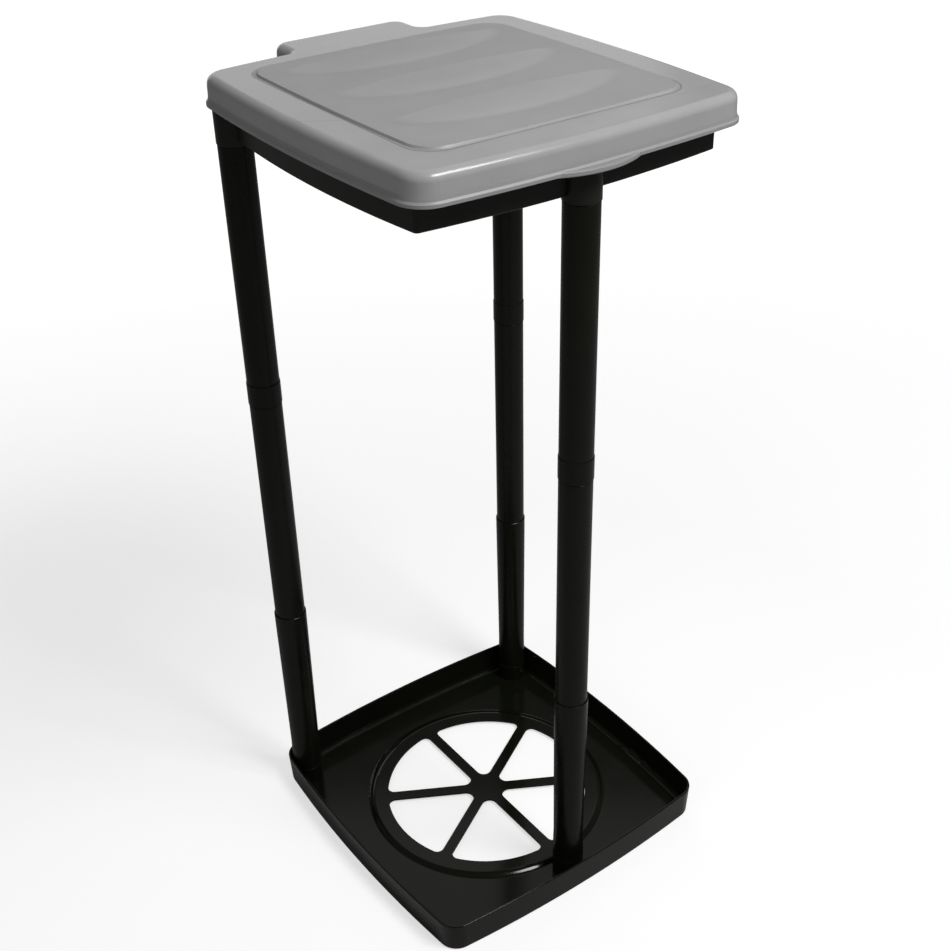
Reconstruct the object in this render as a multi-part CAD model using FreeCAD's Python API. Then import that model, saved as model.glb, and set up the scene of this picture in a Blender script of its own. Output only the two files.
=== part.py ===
import FreeCAD, Part
import math
import os

# A free-standing bin bag holder: a square tray, three legs of plug-together
# tube sections, a square frame that the bag hangs in, and a hinged lid.
# Millimetres, +Z up. The origin is on the floor under the tray's centre,
# the front is towards -Y and the lid hinges along the rear, towards +Y.

V = FreeCAD.Vector
UP = V(0, 0, 1)

# Base tray
tray_half = 172.0
tray_height = 35.0
tray_draft = 2.0
tray_wall = 2.4
tray_floor = 2.2
side_bow = 9.0
tray_corner_radius = 22.0
tray_base_round = 2.5
tray_floor_fillet = 6.0
tray_rim_round = 1.0

# Raised ring with the six-spoked opening
spoke_count = 6
spoke_width = 11.5
opening_radius = 110.0
opening_outer_round = 7.0
opening_inner_round = 8.5
ring_flat_radius = 123.0
ring_rise = 3.2
ring_top_round = 9.0
ring_foot_round = 7.0

# Legs: how far they stand in from the tray's sides, and their lengths
leg_side_inset = 27.0
leg_end_inset = 29.0
leg_boss_height = 23.0
lower_length = 212.0
middle_length = 249.0
upper_length = 251.0
leg_radius = 15.4
leg_foot_radius = 16.0
leg_waist_radius = 15.2
lower_bell_radius = 16.5
upper_bell_radius = 15.95
bell_length = 22.0
foot_flare_height = 34.0
seam_bevel = 0.5

# Plug joints between the leg sections
spigot_radius = 13.0
spigot_length = 28.0
spigot_wall = 2.2
spigot_lead = 1.2
plug_gap = 0.15

# Top frame: how far its band stands out from the leg axes, and its section
frame_side_reach = 12.0
frame_front_reach = 1.5
frame_rear_reach = 7.5
frame_corner_radius = 4.5
frame_drop = 6.0
frame_height = 37.0
frame_wall = 2.6
frame_edge_bevel = 0.6
collar_radius = 16.0
collar_roof = 2.6

# Lid shell: how far it stands out from the frame, and its section
lid_side_overhang = 13.0
lid_front_overhang = 21.0
lid_rear_overhang = 25.0
lid_bow = 8.0
lid_corner_radius = 26.0
lid_clear_above_frame = 11.6
lid_skirt = 25.0
lid_wall = 2.2
lip_reach = 2.2
lip_height = 2.6
lip_sweep_height = 7.5
lid_skirt_draft = 0.6
lid_edge_round = 7.5
lid_inner_bevel = 3.4
rib_wall = 2.0
rib_gap = 0.3

# Raised panel: its margins inside the lid's outline, and its edge
panel_side_margin = 39.0
panel_front_margin = 41.5
panel_rear_margin = 31.5
panel_bow = 3.0
panel_corner_radius = 26.0
panel_rise = 1.8
panel_slope = 1.4

# Three ridges on the panel, each a long oval whose crest lies near its rear
ridge_count = 3
ridge_pitch = 81.5
ridge_end_margin = 18.0
ridge_crest_shift = 24.0
ridge_front_reach = 44.0
ridge_rear_reach = 5.0
ridge_rise = 4.0
ridge_hollow_inset = 1.6

# Finger tab under the front of the lid
tab_half_width = 37.5
tab_reach = 8.5
tab_thickness = 3.0
tab_drop = 1.0
tab_edge_round = 1.0
tab_bead_width = 3.0
tab_bead_rise = 1.2

# Hinge at the rear
hood_half_width = 71.0
hood_reach = 35.5
hood_corner_radius = 17.0
hood_fillet = 5.0
hinge_bar_radius = 4.0
hinge_gap = 0.1
clip_wall = 2.5
clip_hood_gap = 2.2
clip_offset_x = 40.0
clip_width = 12.0
clip_mouth_deg = 96.0
clip_web_thickness = 5.0
clip_side_gap = 0.6
arm_thickness = 6.0
arm_height = 8.5
gusset_length = 20.0
gusset_drop = 14.0

# Places and levels worked out from the sizes above. straight is the radius of
# a side that is flat, and past is how far a cut runs beyond what it cuts.
leg_x = tray_half - leg_side_inset
leg_rear_y = tray_half - leg_end_inset
leg_front_y = -leg_rear_y
frame_half_width = leg_x + frame_side_reach
frame_front_y = leg_front_y - frame_front_reach
frame_rear_y = leg_rear_y + frame_rear_reach
lid_half_width = frame_half_width + lid_side_overhang
lid_front_y = frame_front_y - lid_front_overhang
lid_rear_y = frame_rear_y + lid_rear_overhang
hood_rear_y = lid_rear_y + hood_reach
panel_half_width = lid_half_width - panel_side_margin
panel_front_y = lid_front_y + panel_front_margin
panel_rear_y = lid_rear_y - panel_rear_margin
seam_lower = leg_boss_height + lower_length
seam_middle = seam_lower + middle_length
seam_upper = seam_middle + upper_length
frame_bottom = seam_upper + frame_drop
frame_top = frame_bottom + frame_height
lid_roof = frame_top + lid_clear_above_frame
lid_top = lid_roof + lid_wall
lid_rim = lid_top - lid_skirt
socket_radius = spigot_radius + plug_gap
ring_top = tray_floor + ring_rise
ring_tilt = math.acos(1 - ring_rise / (ring_top_round + ring_foot_round))
ring_foot_radius = ring_flat_radius + (ring_top_round + ring_foot_round) * math.sin(ring_tilt)
hinge_z = frame_top - arm_height / 2
clip_radius = hinge_bar_radius + hinge_gap + clip_wall
hinge_y = hood_rear_y - lip_reach - lid_wall - clip_hood_gap - clip_radius
leg_places = {
    "front": (0.0, leg_front_y),
    "rear_left": (-leg_x, leg_rear_y),
    "rear_right": (leg_x, leg_rear_y),
}
straight = 20000.0
past = 1.0


# Plan outlines made of tangent arcs

def circles_meet(a, ra, b, rb, near):
    """The crossing of two circles that lies closest to a given point."""
    gap = b - a
    d = gap.Length
    along = (ra * ra - rb * rb + d * d) / (2 * d)
    across = math.sqrt(ra * ra - along * along)
    u = V(gap).normalize()
    w = V(-u.y, u.x, 0)
    crossings = [a + u * along + w * across, a + u * along - w * across]
    return min(crossings, key=lambda p: (p - near).Length)


def bowed_side(mid, outward, half_length, bow):
    """The circle of a side that bulges outward by bow at its middle."""
    radius = (half_length ** 2 + bow ** 2) / (2 * bow)
    return mid - outward * radius, radius


def arc(centre, reach, start, end):
    """The arc between two directions, a negative reach pointing them back."""
    if reach < 0:
        start, end = -start, -end
    if start.cross(end).z < 0:
        start, end = end, start
    circle = Part.Circle(centre, UP, abs(reach))
    return Part.ArcOfCircle(circle, math.atan2(start.y, start.x), math.atan2(end.y, end.x)).toShape()


def arc_outline(sides, corners, inset, z):
    """A closed wire of arcs, moved inwards by inset.

    sides lists (centre, radius) of each side's circle in order. corners lists
    (place, radius) for the corner after each side: a negative radius is an
    inside corner, filled on the outer side.
    """
    count = len(sides)
    hubs = []
    for k in range(count):
        (a, ra), (b, rb) = sides[k], sides[(k + 1) % count]
        place, r = corners[k]
        hubs.append(circles_meet(a, ra - r, b, rb - r, place))
    edges = []
    for k in range(count):
        centre, radius = sides[k]
        follow = sides[(k + 1) % count][0]
        into = (hubs[k - 1] - centre).normalize()
        out = (hubs[k] - centre).normalize()
        turn = (hubs[k] - follow).normalize()
        edges.append(arc(centre, radius - inset, into, out))
        edges.append(arc(hubs[k], corners[k][1] - inset, out, turn))
    wire = Part.Wire(edges)
    wire.translate(UP * z)
    return wire


def square_plan(half_width, front_y, rear_y, bow, corner_radius):
    """Sides and corners of a square with bowed sides, front first."""
    mid_y = (front_y + rear_y) / 2
    half_depth = (rear_y - front_y) / 2
    cx = half_width - bow
    cy = half_depth - bow
    sides = [
        bowed_side(V(0, front_y, 0), V(0, -1, 0), cx, bow),
        bowed_side(V(half_width, mid_y, 0), V(1, 0, 0), cy, bow),
        bowed_side(V(0, rear_y, 0), V(0, 1, 0), cx, bow),
        bowed_side(V(-half_width, mid_y, 0), V(-1, 0, 0), cy, bow),
    ]
    places = [V(cx, mid_y - cy, 0), V(cx, mid_y + cy, 0), V(-cx, mid_y + cy, 0), V(-cx, mid_y - cy, 0)]
    return sides, [(p, corner_radius) for p in places]


def prism(plan, steps):
    """A solid through copies of a plan, one at each (z, inset)."""
    wires = [arc_outline(plan[0], plan[1], inset, z) for z, inset in steps]
    return Part.makeLoft(wires, True, True)


def edges_at(shape, z):
    """The edges of a shape that lie wholly at one level."""
    level = []
    for edge in shape.Edges:
        box = edge.BoundBox
        if abs(box.ZMin - z) < 1e-4 and abs(box.ZMax - z) < 1e-4:
            level.append(edge)
    return level


def turned(points):
    """A solid turned about Z from a closed list of (radius, z) points."""
    wire = Part.makePolygon([V(r, 0, z) for r, z in points + points[:1]])
    return Part.Face(wire).revolve(V(0, 0, 0), UP, 360)


# Base tray

def tray_shell():
    plan = square_plan(tray_half, -tray_half, tray_half, side_bow, tray_corner_radius)
    outer = prism(plan, [(0, tray_draft), (tray_height, 0)])
    outer = outer.makeFillet(tray_base_round, edges_at(outer, 0))
    rise = tray_draft / tray_height
    floor_inset = tray_draft - rise * tray_floor + tray_wall
    steps = [(tray_floor, floor_inset), (tray_height + past, tray_wall - rise * past)]
    inner = prism(plan, steps)
    inner = inner.makeFillet(tray_floor_fillet, edges_at(inner, tray_floor))
    shell = outer.cut(inner)
    return shell.makeFillet(tray_rim_round, edges_at(shell, tray_height))


def raised_ring():
    """The disc that stands up from the floor, with a rounded shoulder."""
    closing_z = tray_floor / 2
    s, c = math.sin(ring_tilt), math.cos(ring_tilt)
    s2, c2 = math.sin(ring_tilt / 2), math.cos(ring_tilt / 2)
    crown = V(ring_flat_radius, 0, ring_top)
    joint = crown + V(ring_top_round * s, 0, -ring_top_round * (1 - c))
    end = V(ring_foot_radius, 0, tray_floor)
    crown_mid = crown + V(ring_top_round * s2, 0, -ring_top_round * (1 - c2))
    end_mid = V(end.x - ring_foot_round * s2, 0, tray_floor + ring_foot_round * (1 - c2))
    edges = [
        Part.makeLine(V(0, 0, ring_top), crown),
        Part.Arc(crown, crown_mid, joint).toShape(),
        Part.Arc(joint, end_mid, end).toShape(),
        Part.makeLine(end, V(end.x, 0, closing_z)),
        Part.makeLine(V(end.x, 0, closing_z), V(0, 0, closing_z)),
        Part.makeLine(V(0, 0, closing_z), V(0, 0, ring_top)),
    ]
    return Part.Face(Part.Wire(edges)).revolve(V(0, 0, 0), UP, 360)


def ring_underside():
    """The shallow cone under the ring that keeps the floor one wall thick."""
    foot = ring_foot_radius - tray_floor / 2
    crown = ring_flat_radius - tray_floor / 2
    return turned([(0, -past), (foot, -past), (foot, 0), (crown, ring_rise), (0, ring_rise)])


def spoke_opening(turn):
    """One opening between two spokes, with all its corners rounded."""
    step = 360.0 / spoke_count
    half = math.radians(step / 2)
    apex = spoke_width / 2 / math.sin(half)
    reach = 2 * opening_radius
    tip = V(apex, 0, 0)
    side = V(math.cos(half), math.sin(half), 0) * reach
    wedge = Part.makePolygon([tip, tip + V(side.x, -side.y, 0), tip + side, tip])
    height = ring_top + 2 * past
    solid = Part.Face(wedge).extrude(UP * height)
    solid = solid.common(Part.makeCylinder(opening_radius, height))
    upright = [e for e in solid.Edges if abs(e.BoundBox.ZLength - height) < 1e-4]
    outer = [e for e in upright if e.BoundBox.XMin >= opening_radius / 2]
    solid = solid.makeFillet(opening_outer_round, outer)
    upright = [e for e in solid.Edges if abs(e.BoundBox.ZLength - height) < 1e-4]
    inner = [e for e in upright if e.BoundBox.XMin < apex + past]
    solid = solid.makeFillet(opening_inner_round, inner)
    solid.translate(V(0, 0, -past))
    solid.rotate(V(0, 0, 0), UP, turn)
    return solid


def leg_stud():
    """The boss that a leg stands on, with the hollow spigot it plugs over."""
    top = leg_boss_height + spigot_length
    bore = spigot_radius - spigot_wall
    return turned([
        (bore, tray_floor / 2), (leg_foot_radius, tray_floor / 2),
        (leg_foot_radius, leg_boss_height - seam_bevel),
        (leg_foot_radius - seam_bevel, leg_boss_height),
        (spigot_radius, leg_boss_height), (spigot_radius, top - spigot_lead),
        (spigot_radius - spigot_lead / 2, top), (bore, top),
    ])


def base_tray():
    tray = tray_shell()
    tray = tray.fuse(raised_ring()).cut(ring_underside())
    step = 360.0 / spoke_count
    for k in range(spoke_count):
        tray = tray.cut(spoke_opening(k * step))
    for x, y in leg_places.values():
        stud = leg_stud()
        stud.translate(V(x, y, 0))
        tray = tray.fuse(stud)
    return tray.removeSplitter()


# Leg sections

def lower_section():
    """Socket at both ends, belled at the top and flared at the foot."""
    low, high = leg_boss_height, seam_lower
    bell = lower_bell_radius
    return turned([
        (socket_radius, low), (leg_foot_radius - seam_bevel, low),
        (leg_foot_radius, low + seam_bevel), (leg_foot_radius, low + seam_bevel * 2),
        (leg_waist_radius, low + foot_flare_height), (bell, high - seam_bevel),
        (bell - seam_bevel, high), (socket_radius, high),
    ])


def middle_section():
    """A straight tube with a spigot at both ends."""
    low, high = seam_lower, seam_middle
    bore = spigot_radius - spigot_wall
    bottom, top = low - spigot_length, high + spigot_length
    tip = spigot_radius - spigot_lead / 2
    return turned([
        (bore, bottom), (tip, bottom), (spigot_radius, bottom + spigot_lead),
        (spigot_radius, low), (leg_radius - seam_bevel, low), (leg_radius, low + seam_bevel),
        (leg_radius, high - seam_bevel), (leg_radius - seam_bevel, high),
        (spigot_radius, high), (spigot_radius, top - spigot_lead), (tip, top), (bore, top),
        (bore, high - spigot_wall), (socket_radius, high - 2 * spigot_wall),
        (socket_radius, low + 2 * spigot_wall), (bore, low + spigot_wall),
    ])


def upper_section():
    """A belled socket at the bottom and a spigot at the top."""
    low, high = seam_middle, seam_upper
    bore = spigot_radius - spigot_wall
    top = high + spigot_length
    bell = upper_bell_radius
    return turned([
        (socket_radius, low), (bell - seam_bevel, low), (bell, low + seam_bevel),
        (bell, low + bell_length), (leg_radius, low + bell_length + spigot_lead),
        (leg_radius, high - seam_bevel), (leg_radius - seam_bevel, high),
        (spigot_radius, high), (spigot_radius, top - spigot_lead),
        (spigot_radius - spigot_lead / 2, top), (bore, top),
        (bore, high - spigot_wall), (socket_radius, high - 2 * spigot_wall),
    ])


# Top frame

def frame_plan():
    return square_plan(frame_half_width, frame_front_y, frame_rear_y, side_bow, frame_corner_radius)


def frame_band():
    plan = frame_plan()
    bevel = frame_edge_bevel
    low, high = frame_bottom + bevel, frame_top - bevel
    outer = prism(plan, [(frame_bottom, bevel), (low, 0), (high, 0), (frame_top, bevel)])
    over = 2 * bevel
    flared = frame_wall - over
    inner = prism(plan, [(low - over, flared), (low, frame_wall), (high, frame_wall), (high + over, flared)])
    return outer.cut(inner)


def collar(x, y):
    """A blind socket that a leg's top spigot plugs into, as (body, hole)."""
    top = seam_upper + spigot_length + collar_roof
    body = turned([
        (0, seam_upper), (collar_radius - seam_bevel, seam_upper),
        (collar_radius, seam_upper + seam_bevel),
        (collar_radius, top - seam_bevel), (collar_radius - seam_bevel, top), (0, top),
    ])
    hole = Part.makeCylinder(socket_radius, spigot_length + past, V(0, 0, seam_upper - past))
    body.translate(V(x, y, 0))
    hole.translate(V(x, y, 0))
    return body, hole


def hinge_arm(x):
    """One arm from the band to the hinge bar, with a gusset under it."""
    root = frame_rear_y - frame_wall / 2
    low = frame_top - arm_height
    profile = Part.makePolygon([
        V(x, root, frame_top), V(x, hinge_y, frame_top), V(x, hinge_y, low),
        V(x, root + gusset_length, low), V(x, root, low - gusset_drop), V(x, root, frame_top),
    ])
    arm = Part.Face(profile).extrude(V(arm_thickness, 0, 0))
    eye = Part.makeCylinder(arm_height / 2, arm_thickness, V(x, hinge_y, hinge_z), V(1, 0, 0))
    return arm.fuse(eye)


def top_frame():
    frame = frame_band()
    holes = []
    for x, y in leg_places.values():
        body, hole = collar(x, y)
        frame = frame.fuse(body)
        holes.append(hole)
    frame = frame.cut(Part.makeCompound(holes))
    arm_x = clip_offset_x + clip_width / 2 + clip_side_gap
    bar_half = arm_x + arm_thickness
    frame = frame.fuse(hinge_arm(arm_x)).fuse(hinge_arm(-bar_half))
    bar_start = V(-bar_half, hinge_y, hinge_z)
    bar = Part.makeCylinder(hinge_bar_radius, 2 * bar_half, bar_start, V(1, 0, 0))
    return frame.fuse(bar).removeSplitter()


# Lid

def lid_plan():
    """The lid's outline with the hinge hood standing out at the rear."""
    sides, corners = square_plan(lid_half_width, lid_front_y, lid_rear_y, lid_bow, lid_corner_radius)
    front, right, rear, left = sides
    half = hood_half_width
    hood_right = (V(half - straight, hood_rear_y, 0), straight)
    hood_rear = (V(0, hood_rear_y - straight, 0), straight)
    hood_left = (V(straight - half, hood_rear_y, 0), straight)
    all_sides = [front, right, rear, hood_right, hood_rear, hood_left, rear, left]
    all_corners = [
        corners[0], corners[1],
        (V(half, lid_rear_y, 0), -hood_fillet), (V(half, hood_rear_y, 0), hood_corner_radius),
        (V(-half, hood_rear_y, 0), hood_corner_radius), (V(-half, lid_rear_y, 0), -hood_fillet),
        corners[2], corners[3],
    ]
    return all_sides, all_corners


def lid_shell():
    plan = lid_plan()
    skirt = lip_reach
    lip_top = lid_rim + lip_height
    sweep_top = lid_rim + lip_sweep_height
    knee = lip_top + (sweep_top - lip_top) / 3
    outer = prism(plan, [
        (lid_rim, 0), (lip_top, 0), (knee, skirt * 2 / 3),
        (sweep_top, skirt), (lid_top, skirt + lid_skirt_draft),
    ])
    outer = outer.makeFillet(lid_edge_round, edges_at(outer, lid_top))
    inside = skirt + lid_wall
    bevel = lid_inner_bevel
    cavity = prism(plan, [
        (lid_rim - past, inside), (lid_roof - bevel, inside + lid_skirt_draft),
        (lid_roof, inside + lid_skirt_draft + bevel),
    ])
    panel = square_plan(panel_half_width, panel_front_y, panel_rear_y, panel_bow, panel_corner_radius)
    raised = prism(panel, [(lid_top - past, 0), (lid_top, 0), (lid_top + panel_rise, panel_slope)])
    hollow_low = (lid_roof - past, lid_wall)
    hollow = prism(panel, [hollow_low, (lid_roof + panel_rise, lid_wall + panel_slope)])
    return outer.fuse(raised).cut(cavity).cut(hollow)


def on_crest_arc(crest, radius, turn):
    """A point of the arc that is level at the crest, turned towards the rear."""
    return crest + V(0, radius * math.sin(turn), radius * (math.cos(turn) - 1))


def ridge(k, base_z, inset):
    """An oval ridge with a long slope at the front and a round drop at the rear.

    Its section is swept about a far axis along Y, so that the crest sinks into
    the panel at both ends.
    """
    mid_y = (panel_front_y + panel_rear_y) / 2
    crest_y = mid_y + ridge_crest_shift + (k - (ridge_count - 1) / 2) * ridge_pitch
    crest = V(0, crest_y, base_z + ridge_rise)
    front, rear = ridge_front_reach - inset, ridge_rear_reach - inset
    half_length = panel_half_width - ridge_end_margin - inset
    sunk = lid_wall / 4
    arcs = []
    for reach, way in ((front, -1), (rear, 1)):
        radius = (reach ** 2 + ridge_rise ** 2) / (2 * ridge_rise)
        turn = way * math.acos(1 - ridge_rise / radius)
        arcs.append(Part.Arc(crest, on_crest_arc(crest, radius, turn / 2), on_crest_arc(crest, radius, turn)))
    front_foot, rear_foot = arcs[0].EndPoint, arcs[1].EndPoint
    low = [front_foot, front_foot - UP * sunk, rear_foot - UP * sunk, rear_foot]
    edges = [a.toShape() for a in arcs] + Part.makePolygon(low).Edges
    section = Part.Face(Part.Wire(Part.sortEdges(edges)[0]))
    sweep_radius = half_length ** 2 / (2 * ridge_rise)
    axis_at = crest - UP * sweep_radius
    turn = math.degrees(math.asin((half_length + ridge_end_margin / 2) / sweep_radius))
    section.rotate(axis_at, V(0, 1, 0), -turn)
    form = section.revolve(axis_at, V(0, 1, 0), 2 * turn)
    above = Part.makeBox(2 * half_length, front + 2 * rear, ridge_rise + sunk * 2,
                         V(-half_length, crest_y - front, base_z - sunk))
    return form.common(above)


def seal_rib():
    """The rib under the roof that rests on the frame's top edge."""
    plan = frame_plan()
    side = (frame_wall - rib_wall) / 2
    low, high = frame_top + rib_gap, lid_roof + lid_wall / 4
    outer = prism(plan, [(low, side), (high, side)])
    inner = prism(plan, [(low - past, side + rib_wall), (high + past, side + rib_wall)])
    return outer.cut(inner)


def hinge_clip(x):
    """A C-shaped clip that snaps over the hinge bar, hung from the roof."""
    start = V(x - clip_width / 2, hinge_y, hinge_z)
    ring = Part.makeCylinder(clip_radius, clip_width, start, V(1, 0, 0))
    web_size = (clip_width, clip_web_thickness, lid_roof + lid_wall / 4 - hinge_z)
    web = Part.makeBox(*web_size, start - V(0, clip_web_thickness / 2, 0))
    bore = Part.makeCylinder(hinge_bar_radius + hinge_gap, clip_width, start, V(1, 0, 0))
    half = math.radians(clip_mouth_deg / 2)
    reach = 2 * clip_radius
    left = start + V(0, -math.sin(half) * reach, -math.cos(half) * reach)
    right = start + V(0, math.sin(half) * reach, -math.cos(half) * reach)
    mouth = Part.Face(Part.makePolygon([start, left, right, start])).extrude(V(clip_width, 0, 0))
    return ring.fuse(web).cut(bore).cut(mouth)


def finger_tab():
    """The edge of a thin disc under the front lip, with a bead round it."""
    radius = (tab_half_width ** 2 + tab_reach ** 2) / (2 * tab_reach)
    front = lid_front_y - tab_reach
    depth = tab_reach + lip_reach + lid_wall / 2
    height = tab_thickness + tab_bead_rise
    start = V(0, front + radius, lid_rim - tab_drop)
    disc = Part.makeCylinder(radius, height, start)
    disc = disc.makeFillet(tab_edge_round, [disc.Edges[0], disc.Edges[2]])
    well = Part.makeCylinder(radius - tab_bead_width, height, start + UP * tab_thickness)
    keep = Part.makeBox(2 * radius, depth, height, V(-radius, front, start.z))
    return disc.cut(well).common(keep)


def lid():
    shell = lid_shell()
    for k in range(ridge_count):
        shell = shell.fuse(ridge(k, lid_top + panel_rise, 0))
        shell = shell.cut(ridge(k, lid_roof + panel_rise, ridge_hollow_inset))
    shell = shell.fuse(seal_rib())
    for side in (-1, 1):
        shell = shell.fuse(hinge_clip(side * clip_offset_x))
    return shell.fuse(finger_tab()).removeSplitter()


def main():
    os.makedirs("parts", exist_ok=True)
    parts = {"base_tray": base_tray(), "top_frame": top_frame(), "lid": lid()}
    sections = {"lower": lower_section, "middle": middle_section, "upper": upper_section}
    for leg, (x, y) in leg_places.items():
        for level, make in sections.items():
            section = make()
            section.translate(V(x, y, 0))
            parts[leg + "_leg_" + level] = section
    for name, shape in parts.items():
        volume = round(shape.Volume / 1000, 1)
        print(name, "solids", len(shape.Solids), "valid", shape.isValid(), "cm3", volume)
        shape.exportStep("parts/" + name + ".step")


main()
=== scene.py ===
# %% [markdown]
# # Bin bag holder
# A tray, three plug-together legs, a square frame that the bag hangs in and a
# hinged lid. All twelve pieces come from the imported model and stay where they
# are. This notebook gives them their plastics, and adds a floor, light and a
# camera.

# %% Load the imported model
import math

import bpy
from mathutils import Matrix, Vector

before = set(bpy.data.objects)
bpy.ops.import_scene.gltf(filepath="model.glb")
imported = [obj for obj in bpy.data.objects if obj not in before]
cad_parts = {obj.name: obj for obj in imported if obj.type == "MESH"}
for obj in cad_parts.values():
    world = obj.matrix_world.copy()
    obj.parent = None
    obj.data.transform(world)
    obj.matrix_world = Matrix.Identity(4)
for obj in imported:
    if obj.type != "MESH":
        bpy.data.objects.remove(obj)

scene = bpy.context.scene


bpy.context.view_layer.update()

# %% [markdown]
# ## Helpers for materials
# Colours are written as the hex values that a screen shows. A renderer adds
# light, so it needs linear values, and one function turns the first into the
# second. Another adds a shader node with its settings and links, which keeps
# each material as short as a list of its nodes. A Mix node has the same names
# for its inputs of every kind, so they are picked by number: 0 is the factor, 2
# and 3 take plain numbers, and 6 and 7 take colours.

# %% Colour and node helpers
def linear(hex_colour):
    """The linear RGBA of an sRGB hex colour, by the curve of the sRGB standard."""
    channels = [int(hex_colour[i:i + 2], 16) / 255 for i in (1, 3, 5)]
    return [c / 12.92 if c <= 0.04045 else ((c + 0.055) / 1.055) ** 2.4
            for c in channels] + [1.0]


def add(tree, kind, settings=None, links=None):
    """A node with its properties and input values set and its inputs linked."""
    node = tree.nodes.new(kind)
    for name, value in (settings or {}).items():
        if isinstance(name, str) and hasattr(node, name):
            setattr(node, name, value)
        else:
            node.inputs[name].default_value = value
    for name, source in (links or {}).items():
        tree.links.new(source, node.inputs[name])
    return node


def empty_tree(owner):
    """The node tree of a material or world with nothing in it."""
    owner.use_nodes = True
    owner.node_tree.nodes.clear()
    return owner.node_tree


print("mid grey is", [round(value, 3) for value in linear("#808080")])

# %% [markdown]
# ## Moulded polypropylene
# Every piece is polypropylene, injection moulded in a steel tool. Seen close,
# such a skin has three scales: a fine orange peel, slow sink and flow waves some
# 40 mm long, and a gloss that drifts over the same length because the melt
# cooled unevenly. The colour drifts very little. The waves could be modelled,
# but they are less than 0.1 mm deep, so noise that tilts the shading does it
# with no extra faces. Object space has metres as its unit, so a pattern of
# s millimetres has the scale 1000 / s. Polypropylene has an index of refraction
# of 1.49. A moulded skin is never quite smooth, so the specular level lies below
# the 0.5 that the index alone would give, and is matched to the photograph.

# %% Polypropylene material
MM = 0.001
NOISE_LOW, NOISE_HIGH = 0.3, 0.7  # nearly all of the noise lies between these


def moulded_polypropylene(name, colour, colour_drift, specular, roughness, roughness_drift,
                          peel_mm, peel_depth_mm, wave_mm, wave_depth_mm):
    """A moulded plastic whose colour, gloss and skin drift with slow waves."""
    material = bpy.data.materials.new(name)
    tree = empty_tree(material)
    place = add(tree, "ShaderNodeTexCoord").outputs["Object"]
    waves = add(tree, "ShaderNodeTexNoise", {"Scale": 1000 / wave_mm, "Detail": 3.0},
                {"Vector": place}).outputs["Fac"]
    peel = add(tree, "ShaderNodeTexNoise", {"Scale": 1000 / peel_mm, "Detail": 2.0},
               {"Vector": place}).outputs["Fac"]
    shade = add(tree, "ShaderNodeMapRange",
                {"From Min": NOISE_LOW, "From Max": NOISE_HIGH,
                 "To Min": 1 - colour_drift, "To Max": 1 + colour_drift},
                {"Value": waves})
    tint = add(tree, "ShaderNodeMix",
               {"data_type": "RGBA", "blend_type": "MULTIPLY", 0: 1.0, 6: linear(colour)},
               {7: shade.outputs["Result"]})
    gloss = add(tree, "ShaderNodeMapRange",
                {"From Min": NOISE_LOW, "From Max": NOISE_HIGH,
                 "To Min": roughness - roughness_drift, "To Max": roughness + roughness_drift},
                {"Value": waves})
    swell = add(tree, "ShaderNodeBump", {"Strength": 1.0, "Distance": wave_depth_mm * MM},
                {"Height": waves})
    skin = add(tree, "ShaderNodeBump", {"Strength": 1.0, "Distance": peel_depth_mm * MM},
               {"Height": peel, "Normal": swell.outputs["Normal"]})
    plastic = add(tree, "ShaderNodeBsdfPrincipled",
                  {"Metallic": 0.0, "IOR": 1.49, "Specular IOR Level": specular},
                  {"Base Color": tint.outputs[2], "Roughness": gloss.outputs["Result"],
                   "Normal": skin.outputs["Normal"]})
    add(tree, "ShaderNodeOutputMaterial", None, {"Surface": plastic.outputs["BSDF"]})
    print(name, "has", len(tree.nodes), "nodes")
    return material


# %% [markdown]
# ## The lid's grey
# The lid is mid grey with a satin gloss, which gives soft, wide highlights along
# its rounded edges. Real orange peel is about half a millimetre across. It is
# drawn 1.4 mm wide, because a finer one doesn't show at this distance.

# %% Grey plastic of the lid
lid_plastic = moulded_polypropylene(
    "grey polypropylene, moulded satin", "#9b9b9c", colour_drift=0.03, specular=0.42,
    roughness=0.22, roughness_drift=0.03, peel_mm=1.4, peel_depth_mm=0.012,
    wave_mm=42.0, wave_depth_mm=0.08)

# %% [markdown]
# ## Where a point of the lid lies
# The lid has finishes and painted light and shade that belong to its places: an etched, darker
# panel, a line of painted shade round it, ridges made paler as painted light, a matt lip with
# painted shade and a few marks. Painted masks would need an unwrapped image. The lid
# stands square in its own space, so a point's place, its height and the way that
# it faces are enough. The outside of its top is what faces up. Its upright walls
# and its underside keep the plain plastic.

# %% Height and outside of the lid
FACES_UP = 0.05  # the upward part of a unit normal that counts as facing up
lid_tree = lid_plastic.node_tree
lid_point = add(lid_tree, "ShaderNodeTexCoord")
lid_place = lid_point.outputs["Object"]
lid_height = add(lid_tree, "ShaderNodeSeparateXYZ", None, {0: lid_place}).outputs["Z"]
lid_facing = add(lid_tree, "ShaderNodeSeparateXYZ", None, {0: lid_point.outputs["Normal"]})
lid_outside = add(lid_tree, "ShaderNodeMath", {"operation": "GREATER_THAN", 1: FACES_UP},
                  {0: lid_facing.outputs["Z"]}).outputs[0]
print("a face of the lid counts as its outside from",
      round(math.degrees(math.asin(FACES_UP)), 1), "degrees up")

# %% [markdown]
# ## Changing the lid's plastic
# Each finish of the lid, and each painted shade or light on it, changes what the plain plastic
# already has, so it is put between that and the shader. One helper finds what a shader input has
# now, and another multiplies the colour by a tone, where 1 leaves it as it is.

# %% Helpers for the lid's finishes
lid_skin = next(node for node in lid_tree.nodes if node.type == "BSDF_PRINCIPLED")


def so_far(name):
    """What feeds one input of the lid's shader so far."""
    return lid_skin.inputs[name].links[0].from_socket


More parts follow.
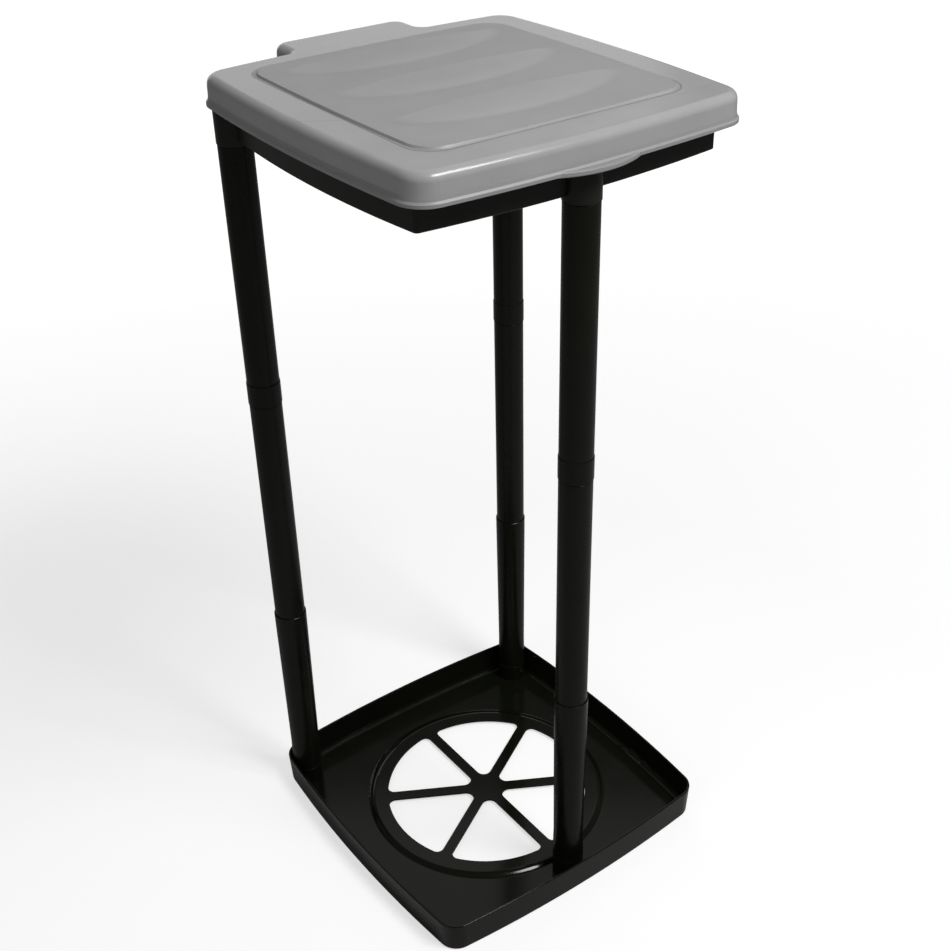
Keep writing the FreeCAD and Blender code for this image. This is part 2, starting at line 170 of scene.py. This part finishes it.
def tone_lid(tone, where=None):
    """The lid's colour times a tone, everywhere or where a mask is 1."""
    links = {6: so_far("Base Color"), 7: tone}
    if where is not None:
        links[0] = where
    toned = add(lid_tree, "ShaderNodeMix",
                {"data_type": "RGBA", "blend_type": "MULTIPLY", 0: 1.0}, links)
    lid_tree.links.new(toned.outputs[2], lid_skin.inputs["Base Color"])


print("the lid's colour comes from", so_far("Base Color").node.name)

# %% [markdown]
# ## Outline of the lid's panel
# The raised panel has its own finish, and a line of painted shade lies round its foot. Its faces
# could take a second material, but a distance that is worked out in the material gives a soft
# step in gloss and serves the painted shade as well. The outline is a rectangle with round
# corners, with the sizes of the imported model. Fold the lid on its middle and take away the
# straight core: what is left is the distance from the core, and all along the outline that is
# the corner's radius.

# %% Distance from the panel's core
PANEL_HALF_X, PANEL_FRONT, PANEL_REAR = 0.1310, -0.1240, 0.1440
PANEL_CORNER = 0.0260
ANY_HEIGHT = 10.0
panel_middle = (0.0, (PANEL_FRONT + PANEL_REAR) / 2, 0.0)
panel_core = (PANEL_HALF_X - PANEL_CORNER, (PANEL_REAR - PANEL_FRONT) / 2 - PANEL_CORNER,
              ANY_HEIGHT)
centred = add(lid_tree, "ShaderNodeVectorMath", {"operation": "SUBTRACT", 1: panel_middle},
              {0: lid_place})
folded = add(lid_tree, "ShaderNodeVectorMath", {"operation": "ABSOLUTE"},
             {0: centred.outputs[0]})
past_core = add(lid_tree, "ShaderNodeVectorMath", {"operation": "SUBTRACT", 1: panel_core},
                {0: folded.outputs[0]})
outwards = add(lid_tree, "ShaderNodeVectorMath", {"operation": "MAXIMUM", 1: (0.0, 0.0, 0.0)},
               {0: past_core.outputs[0]})
reach = add(lid_tree, "ShaderNodeVectorMath", {"operation": "LENGTH"},
            {0: outwards.outputs[0]}).outputs["Value"]
print("half the panel's core in metres:", [round(value, 4) for value in panel_core[:2]])

# %% [markdown]
# ## Etched skin of the panel
# The panel is etched in the tool, so its skin is rougher than the smooth border round it, and
# its colour is made a little darker. The roll of its edge is rougher still: with the panel's own
# gloss it would mirror the lamp as a hard bright line, where the real lid shows a soft one.

# %% Rougher, darker panel
DARKER_PANEL_TONE, ETCHED_ROUGHNESS, ROLLED_EDGE_ROUGHNESS = 0.885, 0.42, 0.75
PANEL_EDGE_SOFTNESS = 0.2 * MM
ROLL_FROM, ROLL_TO = 3.0 * MM, 1.4 * MM  # inwards from the outline
within = add(lid_tree, "ShaderNodeMapRange",
             {"From Min": PANEL_CORNER - PANEL_EDGE_SOFTNESS,
              "From Max": PANEL_CORNER + PANEL_EDGE_SOFTNESS,
              "To Min": 1.0, "To Max": 0.0}, {"Value": reach})
panel = add(lid_tree, "ShaderNodeMath", {"operation": "MULTIPLY"},
            {0: within.outputs[0], 1: lid_outside}).outputs[0]
panel_tone = add(lid_tree, "ShaderNodeMapRange", {"To Min": 1.0, "To Max": DARKER_PANEL_TONE},
                 {"Value": panel})
tone_lid(panel_tone.outputs[0])
panel_roughness = add(lid_tree, "ShaderNodeMapRange",
                      {"From Min": PANEL_CORNER - ROLL_FROM, "From Max": PANEL_CORNER - ROLL_TO,
                       "To Min": ETCHED_ROUGHNESS, "To Max": ROLLED_EDGE_ROUGHNESS},
                      {"Value": reach})
etched = add(lid_tree, "ShaderNodeMix", {"data_type": "FLOAT"},
             {0: panel, 2: so_far("Roughness"), 3: panel_roughness.outputs[0]})
lid_tree.links.new(etched.outputs[0], lid_skin.inputs["Roughness"])
print("the panel reflects", round(100 * (1 - DARKER_PANEL_TONE), 1), "% less than the border")

# %% [markdown]
# ## Painted shade at the panel's foot
# A thin dark line shows all round the foot, in the inner corner where the panel rises out of the
# border. The corner is a real one in the model, but its shadow alone is too weak, so shade is
# painted there: a line just outside the outline is darkened, with soft sides.

# %% Painted shade line round the panel
FOOT_SHADE_TONE = 0.62
FOOT_LINE_OUT, FOOT_LINE_HALF, FOOT_LINE_END = 0.6 * MM, 0.4 * MM, 1.2 * MM
off_line = add(lid_tree, "ShaderNodeMath",
               {"operation": "SUBTRACT", 1: PANEL_CORNER + FOOT_LINE_OUT}, {0: reach})
line_distance = add(lid_tree, "ShaderNodeMath", {"operation": "ABSOLUTE"},
                    {0: off_line.outputs[0]})
foot_painted_shade = add(lid_tree, "ShaderNodeMapRange",
                {"From Min": FOOT_LINE_HALF, "From Max": FOOT_LINE_END,
                 "To Min": FOOT_SHADE_TONE, "To Max": 1.0},
                {"Value": line_distance.outputs[0]})
# Painted shade: the colour is darkened in a thin line round the panel's foot
tone_lid(foot_painted_shade.outputs[0], lid_outside)
print("foot line is", round(2 * FOOT_LINE_HALF / MM, 1), "mm wide")

# %% [markdown]
# ## Painted light on the ridges
# The ridges' front slopes catch the light, and that light is painted on: what stands above the
# panel is made paler. The three ridges are all that stands higher, so their height above the
# panel is the mask. Near the crest the light already falls square on them, so the painted light
# is weaker there, and the crest doesn't look painted.

# %% Ridges made paler as painted light
PANEL_TOP = 0.7936
RIDGE_LIGHT_TONE, CREST_LOSS = 1.13, 0.08
RIDGE_LIGHT_FROM, RIDGE_LIGHT_FULL = 0.1 * MM, 0.8 * MM  # above the panel
CREST_FROM, CREST_FULL = 1.2 * MM, 3.9 * MM
ridge_painted_light = add(lid_tree, "ShaderNodeMapRange",
             {"From Min": PANEL_TOP + RIDGE_LIGHT_FROM, "From Max": PANEL_TOP + RIDGE_LIGHT_FULL,
              "To Min": 1.0, "To Max": RIDGE_LIGHT_TONE}, {"Value": lid_height})
crest = add(lid_tree, "ShaderNodeMapRange",
            {"From Min": PANEL_TOP + CREST_FROM, "From Max": PANEL_TOP + CREST_FULL,
             "To Min": 0.0, "To Max": CREST_LOSS}, {"Value": lid_height})
ridge_tone = add(lid_tree, "ShaderNodeMath", {"operation": "SUBTRACT"},
                 {0: ridge_painted_light.outputs[0], 1: crest.outputs[0]})
# Painted light: the ridges' colour is made paler where they stand above the panel
tone_lid(ridge_tone.outputs[0], lid_outside)

# %% [markdown]
# ## The lid's matt lip, with painted shade
# The flared lip at the foot of the lid's skirt is where the lid is gripped, and it is scratched
# matt. Without that it mirrors the lamp as a white line that the real lid doesn't show. Its
# upward slope still takes too much of the lamp, so shade is painted on it as a darker colour.
# Its height picks it out.

# %% Matt lip with painted shade
LIP_LOW, LIP_HIGH = 0.7735, 0.7750
LIP_SHADE_TONE, LIP_ROUGHNESS = 0.80, 0.45
lip_painted_shade = add(lid_tree, "ShaderNodeMapRange",
               {"From Min": LIP_LOW, "From Max": LIP_HIGH, "To Min": LIP_SHADE_TONE, "To Max": 1.0},
               {"Value": lid_height})
# Painted shade: the lip's colour is darkened so its upward slope takes less of the lamp
tone_lid(lip_painted_shade.outputs[0])
lip = add(lid_tree, "ShaderNodeMapRange",
          {"From Min": LIP_LOW, "From Max": LIP_HIGH, "To Min": 1.0, "To Max": 0.0},
          {"Value": lid_height})
matt = add(lid_tree, "ShaderNodeMix", {"data_type": "FLOAT", 3: LIP_ROUGHNESS},
           {0: lip.outputs[0], 2: so_far("Roughness")})
lid_tree.links.new(matt.outputs[0], lid_skin.inputs["Roughness"])

# %% [markdown]
# ## Marks on the lid's border
# A faint flow line crosses the left border, and two short scuffs lie on the front
# border near the right corner. Each is the distance from a straight stretch,
# seen from above: how far along the stretch a point's foot lies, kept between
# its ends, and then how far the point is from that foot. Grooves in the mesh
# would be far deeper than such marks are.

# %% Flow line and scuffs
MARK_HALF, MARK_END = 0.3 * MM, 1.0 * MM
# The start and end of each mark, seen from above, and its tone
marks = {"flow line": ((-0.1625, 0.0000), (-0.1325, -0.0203), 0.86),
         "front scuff": ((0.0850, -0.1328), (0.1215, -0.1300), 0.90),
         "corner scuff": ((0.1370, -0.1290), (0.1450, -0.1272), 0.88)}
from_above = add(lid_tree, "ShaderNodeVectorMath", {"operation": "MULTIPLY", 1: (1.0, 1.0, 0.0)},
                 {0: lid_place})
for mark, (start, end, tone) in marks.items():
    start, end = Vector((*start, 0.0)), Vector((*end, 0.0))
    run = end - start
    from_start = add(lid_tree, "ShaderNodeVectorMath", {"operation": "SUBTRACT", 1: start},
                     {0: from_above.outputs[0]})
    share = add(lid_tree, "ShaderNodeVectorMath",
                {"operation": "DOT_PRODUCT", 1: run / run.length_squared},
                {0: from_start.outputs[0]})
    along = add(lid_tree, "ShaderNodeClamp", None, {"Value": share.outputs["Value"]})
    foot = add(lid_tree, "ShaderNodeVectorMath", {"operation": "SCALE", 0: run},
               {"Scale": along.outputs[0]})
    off_mark = add(lid_tree, "ShaderNodeVectorMath", {"operation": "DISTANCE"},
                   {0: from_start.outputs[0], 1: foot.outputs[0]})
    mark_tone = add(lid_tree, "ShaderNodeMapRange",
                    {"From Min": MARK_HALF, "From Max": MARK_END, "To Min": tone, "To Max": 1.0},
                    {"Value": off_mark.outputs["Value"]})
    tone_lid(mark_tone.outputs[0], lid_outside)
    print(mark, round(run.length / MM, 1), "mm long")

# %% [markdown]
# ## Three blacks
# The tray, legs and frame are black with carbon pigment. They come from different
# tools: the tray's is polished, so its floor mirrors the leg that stands in it,
# the tubes are satin and show the light as narrow streaks, and the frame is
# plainest. So the same plastic is made three times with its own gloss. The peel
# is again drawn wider than the real one.

# %% Black plastics
tray_plastic = moulded_polypropylene(
    "black polypropylene, polished mould", "#10120b", colour_drift=0.10, specular=0.26,
    roughness=0.13, roughness_drift=0.02, peel_mm=1.6, peel_depth_mm=0.004,
    wave_mm=38.0, wave_depth_mm=0.05)
tube_plastic = moulded_polypropylene(
    "black polypropylene, moulded satin", "#10120b", colour_drift=0.14, specular=0.18,
    roughness=0.27, roughness_drift=0.05, peel_mm=1.6, peel_depth_mm=0.010,
    wave_mm=38.0, wave_depth_mm=0.08)
frame_plastic = moulded_polypropylene(
    "black polypropylene, plain mould", "#1c1d19", colour_drift=0.10, specular=0.24,
    roughness=0.32, roughness_drift=0.04, peel_mm=1.6, peel_depth_mm=0.010,
    wave_mm=38.0, wave_depth_mm=0.08)

# %% [markdown]
# ## Dressing the pieces
# Each piece of the model is one moulding, so it takes one plastic over all of its
# faces. The nine leg sections share the tubes' plastic.

# %% Give every piece its plastic
finishes = {"lid": lid_plastic, "base_tray": tray_plastic, "top_frame": frame_plastic}
for name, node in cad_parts.items():
    finish = finishes.get(name, tube_plastic)
    node.data.materials.clear()
    node.data.materials.append(finish)
    print(name, "is", finish.name)

# %% [markdown]
# ## Floor
# The photograph is cut out on white. A wide sheet of pale paper stands in for the
# studio floor. It carries the object's shadow, and it is wide enough for its edge
# to be lost in the white.

# %% Sheet of paper under the stand
FLOOR_HALF = 12.0
floor_mesh = bpy.data.meshes.new("studio_floor")
floor_mesh.from_pydata([(-FLOOR_HALF, -FLOOR_HALF, 0), (FLOOR_HALF, -FLOOR_HALF, 0),
                        (FLOOR_HALF, FLOOR_HALF, 0), (-FLOOR_HALF, FLOOR_HALF, 0)],
                       [], [(0, 1, 2, 3)])
floor = bpy.data.objects.new("studio_floor", floor_mesh)
scene.collection.objects.link(floor)
print("floor is", 2 * FLOOR_HALF, "m wide")

# %% [markdown]
# ## The floor's white
# Studio paper is matt, so it takes the shadow and mirrors nothing. Lamps
# bright enough to turn it white would wash the object out. So the paper also
# glows, for the camera's rays alone: the ground comes out white, and the object
# keeps its own light and its shadow. Far from the stand the lamps fade, so the
# glow grows with distance.

# %% Pale paper that glows for the camera
GLOW_NEAR, GLOW_FAR = 0.64, 0.93
GLOW_FROM, GLOW_TO = 0.6, 2.6
paper_material = bpy.data.materials.new("pale studio paper")
floor_mesh.materials.append(paper_material)
paper_tree = empty_tree(paper_material)
paper = add(paper_tree, "ShaderNodeBsdfDiffuse", {"Color": linear("#b4b4b4")})
ray = add(paper_tree, "ShaderNodeLightPath")
floor_place = add(paper_tree, "ShaderNodeTexCoord").outputs["Object"]
away = add(paper_tree, "ShaderNodeVectorMath", {"operation": "LENGTH"}, {0: floor_place})
glow_level = add(paper_tree, "ShaderNodeMapRange",
                 {"From Min": GLOW_FROM, "From Max": GLOW_TO,
                  "To Min": GLOW_NEAR, "To Max": GLOW_FAR},
                 {"Value": away.outputs["Value"]})
glow_seen = add(paper_tree, "ShaderNodeMath", {"operation": "MULTIPLY"},
                {0: ray.outputs["Is Camera Ray"], 1: glow_level.outputs[0]})
glow = add(paper_tree, "ShaderNodeEmission", {"Color": (1, 1, 1, 1)},
           {"Strength": glow_seen.outputs[0]})
glowing_paper = add(paper_tree, "ShaderNodeAddShader", None,
                    {0: paper.outputs[0], 1: glow.outputs[0]})
add(paper_tree, "ShaderNodeOutputMaterial", None, {"Surface": glowing_paper.outputs[0]})
print("paper glows from", GLOW_NEAR, "to", GLOW_FAR, "for the camera")

# %% [markdown]
# ## Softboxes
# The long bright line on the lid's front edge and the one along the tray's rear
# rim say that the main lamp is a softbox in front and above, a little to the
# right. The hood and the rear border are paler than the front, which a low panel
# behind gives by its flat reflection. The left skirt is less than a third as
# bright as the top, so that side has only a weak fill, and it makes no
# reflections, because the tubes show none. Area lamps give these soft edges, and
# they are hidden from the camera so that none stands in the white.

# %% Lamps
STAND_MIDDLE = Vector((0.0, 0.0, 0.45))


def softbox(name, towards, distance, size, watts):
    """A rectangular area lamp that looks at the middle of the stand."""
    lamp = bpy.data.lights.new(name, "AREA")
    lamp.shape = "RECTANGLE"
    lamp.size, lamp.size_y = size
    lamp.energy = watts
    holder = bpy.data.objects.new(name, lamp)
    holder.location = STAND_MIDDLE + Vector(towards).normalized() * distance
    to_stand = STAND_MIDDLE - holder.location
    holder.rotation_euler = to_stand.to_track_quat("-Z", "Y").to_euler()
    holder.visible_camera = False
    scene.collection.objects.link(holder)
    print(name, "at", [round(value, 2) for value in holder.location])
    return holder


softbox("key softbox", towards=(0.20, -0.57, 0.80), distance=2.0, size=(0.75, 0.6), watts=33.5)
softbox("rear ceiling panel", towards=(0.45, 0.55, 0.97), distance=2.6, size=(2.2, 1.4), watts=5)
softbox("rear panel", towards=(0.36, 0.925, 0.16), distance=2.6, size=(2.4, 1.5), watts=9.1)
left_fill = softbox("left fill", towards=(-0.90, -0.25, 0.35), distance=2.6, size=(1.2, 1.6),
                    watts=9)
left_fill.visible_glossy = False

# %% [markdown]
# ## Room
# The world is the room round the lamps: a dim grey one for the object, and white
# for the camera alone, as the photograph's ground is. Reflections show the grey
# room, because the real black tubes show no white surround, and nothing here is
# metal or glass.

# %% Grey room, white ground
ROOM_STRENGTH = 0.24
room = bpy.data.worlds.new("grey room")
scene.world = room
room_tree = empty_tree(room)
room_ray = add(room_tree, "ShaderNodeLightPath")
grey_walls = add(room_tree, "ShaderNodeBackground",
                 {"Color": linear("#bcbcbc"), "Strength": ROOM_STRENGTH})
white_ground = add(room_tree, "ShaderNodeBackground", {"Color": (1, 1, 1, 1), "Strength": 1.0})
seen = add(room_tree, "ShaderNodeMixShader", None,
           {0: room_ray.outputs["Is Camera Ray"], 1: grey_walls.outputs[0],
            2: white_ground.outputs[0]})
add(room_tree, "ShaderNodeOutputWorld", None, {"Surface": seen.outputs[0]})
print("the room's strength is", ROOM_STRENGTH)

# %% [markdown]
# ## Camera
# The photograph is taken from the left front, about a third of a right angle above the floor.
# The place, turn, lens and shift were worked out from the corners of the tray and of the lid.
# The real stand is a little twisted between the two, and the model is straight, so the camera
# takes the middle. The view transform is the plain one, so the colours come out as they are
# written.

# %% Camera at the photograph's place
camera_place = (-0.6625, -0.9249, 1.1222)
yaw, pitch, roll = -0.6472, 0.5784, -0.0091
view = bpy.data.cameras.new("photo camera")
view.sensor_width = 36.0
view.lens = 52.81
view.shift_x, view.shift_y = -0.0363, 0.0327
camera = bpy.data.objects.new("photo camera", view)
turn = (Matrix.Rotation(yaw, 4, "Z") @ Matrix.Rotation(math.pi / 2 - pitch, 4, "X")
        @ Matrix.Rotation(roll, 4, "Z"))
camera.matrix_world = Matrix.Translation(camera_place) @ turn
scene.collection.objects.link(camera)
scene.camera = camera
scene.view_settings.view_transform = "Standard"
print("camera looks down by", round(math.degrees(pitch), 1), "degrees")
